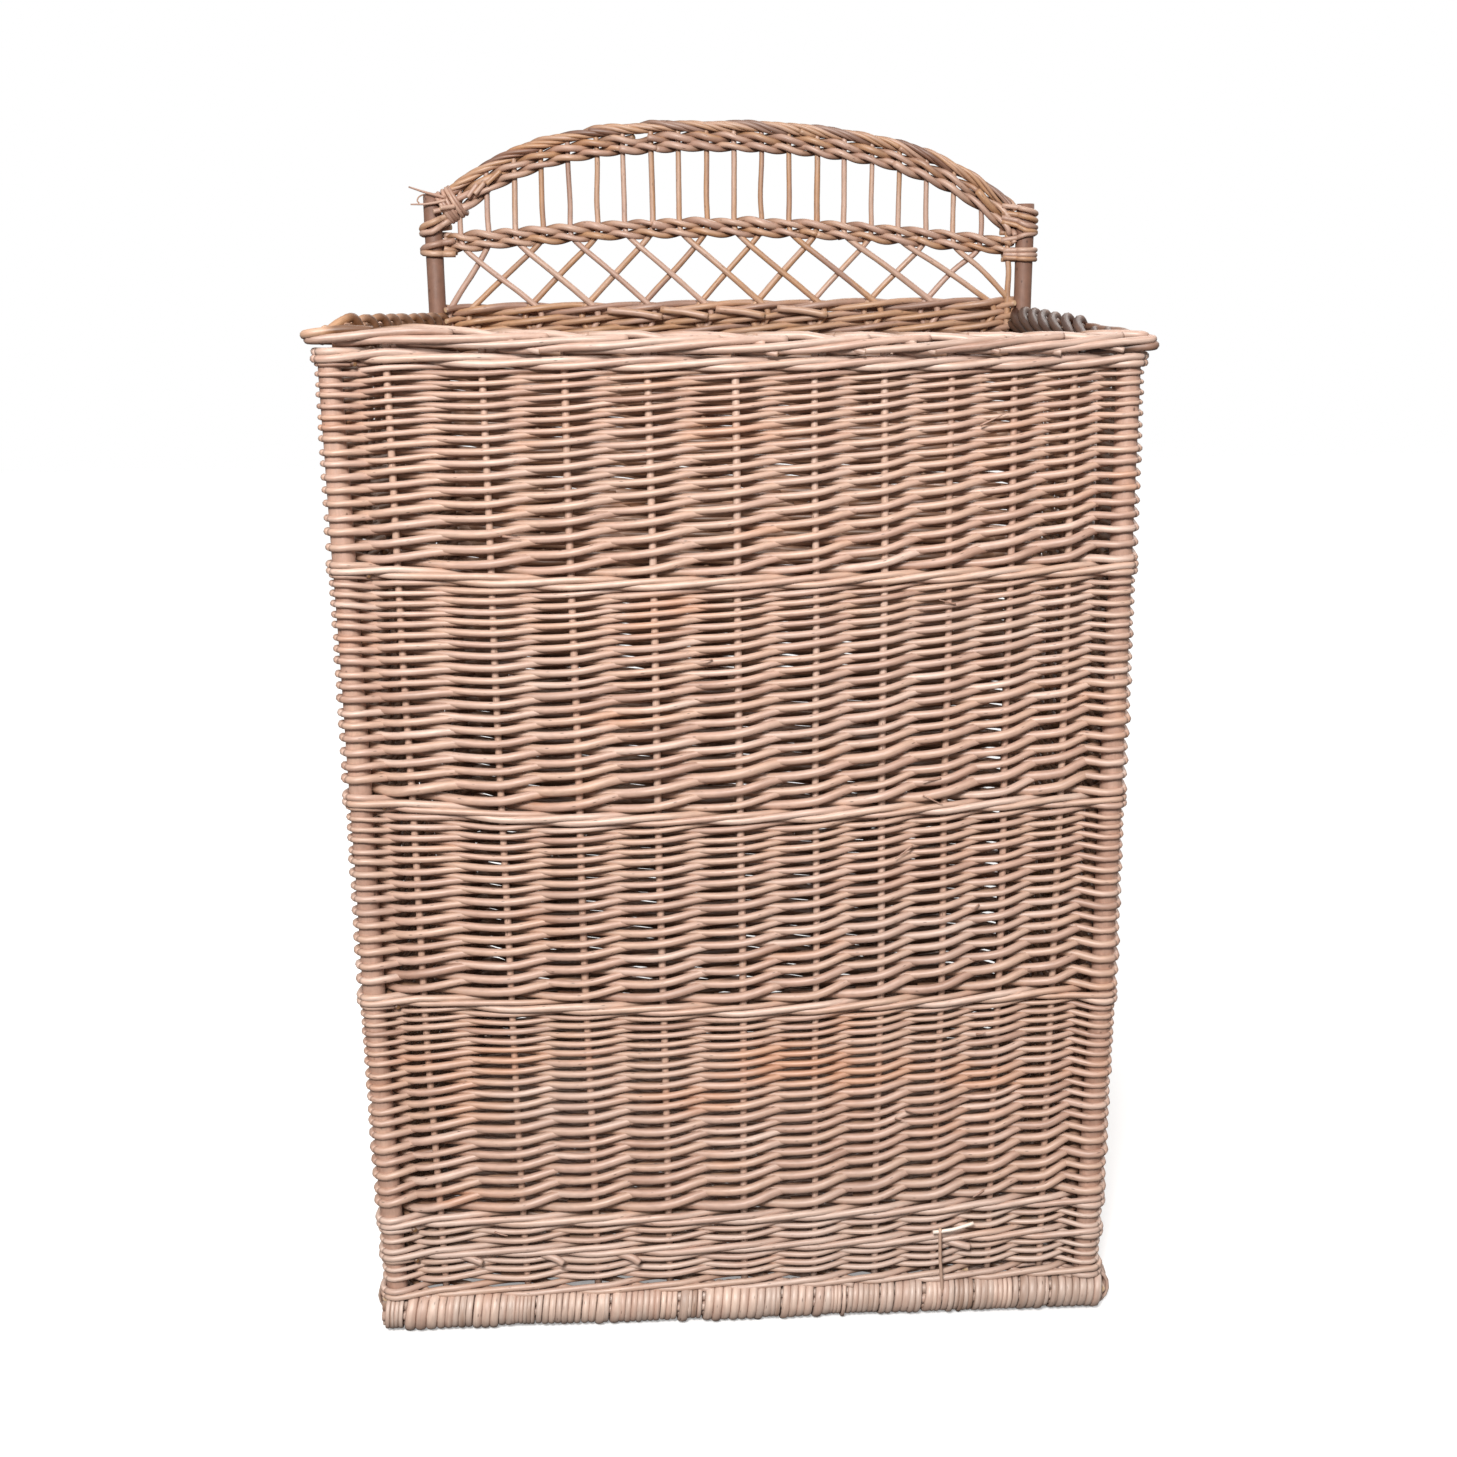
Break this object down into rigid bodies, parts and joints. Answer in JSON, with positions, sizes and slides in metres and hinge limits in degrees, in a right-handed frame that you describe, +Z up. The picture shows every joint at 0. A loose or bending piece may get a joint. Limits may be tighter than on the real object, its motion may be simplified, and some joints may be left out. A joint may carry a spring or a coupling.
{
  "type": "laundry hamper",
  "caption": "Tall rectangular woven willow laundry hamper, open at the top, with a bound foot, a rod border and an arched openwork gallery along the back.",
  "frame": {"origin": "on the floor, under the middle of the whole object", "axes": "+Z up, the front faces -Y, the gallery stands at +Y, +X to the right seen from the front"},
  "size_m": [0.532, 0.4263, 0.8602],
  "materials": {
    "weave_willow": "peeled buff willow rods, satin",
    "wale_willow": "peeled buff willow rods, satin",
    "stake_willow": "peeled buff willow rods, satin",
    "border_willow": "peeled buff willow rods, satin",
    "gallery_willow": "peeled buff willow rods, satin",
    "post_willow": "peeled willow stick, matt",
    "foot_willow": "weathered willow binding, matt",
    "base_willow": "peeled buff willow, matt"
  },
  "bodies": {
    "root": {"base_sticks": "base_willow", "base_weave": "base_willow", "border_front": "border_willow", "border_left": "border_willow", "border_right": "border_willow", "corner_post_front_left": "post_willow", "corner_post_front_right": "post_willow", "corner_post_rear_left": "post_willow", "corner_post_rear_right": "post_willow", "corner_weave_front_left": "weave_willow", "corner_weave_front_right": "weave_willow", "corner_weave_rear_left": "weave_willow", "corner_weave_rear_right": "weave_willow", "foot_binding_front": "foot_willow", "foot_binding_left": "foot_willow", "foot_binding_rear": "foot_willow", "foot_binding_right": "foot_willow", "foot_core_front": "foot_willow", "foot_core_left": "foot_willow", "foot_core_rear": "foot_willow", "foot_core_right": "foot_willow", "front_stakes": "stake_willow", "front_weave_tier_1": "weave_willow", "front_weave_tier_2": "weave_willow", "front_weave_tier_3": "weave_willow", "front_weave_tier_4": "weave_willow", "gallery_arch_bands": "gallery_willow", "gallery_arch_border": "gallery_willow", "gallery_lashing_left": "gallery_willow", "gallery_lashing_right": "gallery_willow", "gallery_lower_bands": "gallery_willow", "gallery_middle_band": "gallery_willow", "gallery_post_wraps": "gallery_willow", "gallery_rods_leaning_left": "gallery_willow", "gallery_rods_leaning_right": "gallery_willow", "left_stakes": "stake_willow", "left_weave_tier_1": "weave_willow", "left_weave_tier_2": "weave_willow", "left_weave_tier_3": "weave_willow", "left_weave_tier_4": "weave_willow", "rear_stakes": "stake_willow", "rear_weave_tier_1": "weave_willow", "rear_weave_tier_2": "weave_willow", "rear_weave_tier_3": "weave_willow", "rear_weave_tier_4": "weave_willow", "right_stakes": "stake_willow", "right_weave_tier_1": "weave_willow", "right_weave_tier_2": "weave_willow", "right_weave_tier_3": "weave_willow", "right_weave_tier_4": "weave_willow", "top_wale": "wale_willow", "upsett_wale": "wale_willow", "wale_1": "wale_willow", "wale_2": "wale_willow", "wale_3": "wale_willow"}
  },
  "joints": []
}
